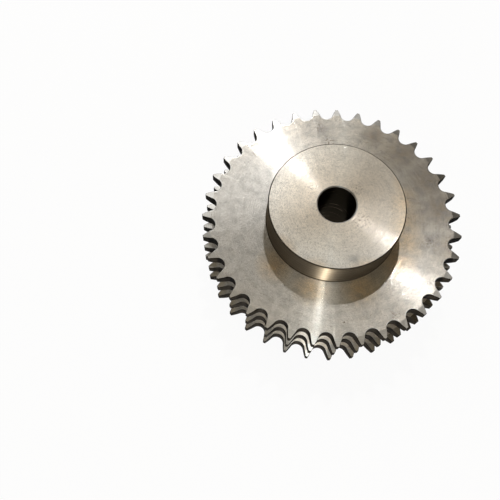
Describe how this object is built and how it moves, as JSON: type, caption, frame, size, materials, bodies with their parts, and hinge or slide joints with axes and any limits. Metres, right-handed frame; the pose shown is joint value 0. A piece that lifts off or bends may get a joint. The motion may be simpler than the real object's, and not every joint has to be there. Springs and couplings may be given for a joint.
{
  "type": "triple sprocket",
  "caption": "Triple-strand roller-chain sprocket with three rows of teeth in line, a hub on one side and a plain bore.",
  "frame": {"origin": "centre of the bore on the flat rear face", "axes": "+Z along the bore, from the rear face towards the hub; +Y through the middle of a tooth space"},
  "size_m": [0.223, 0.2227, 0.0857],
  "materials": {
    "turned_steel": "bright turned faces, darker cut tooth flanks"
  },
  "bodies": {
    "root": {"triple_sprocket": "turned_steel"}
  },
  "joints": []
}
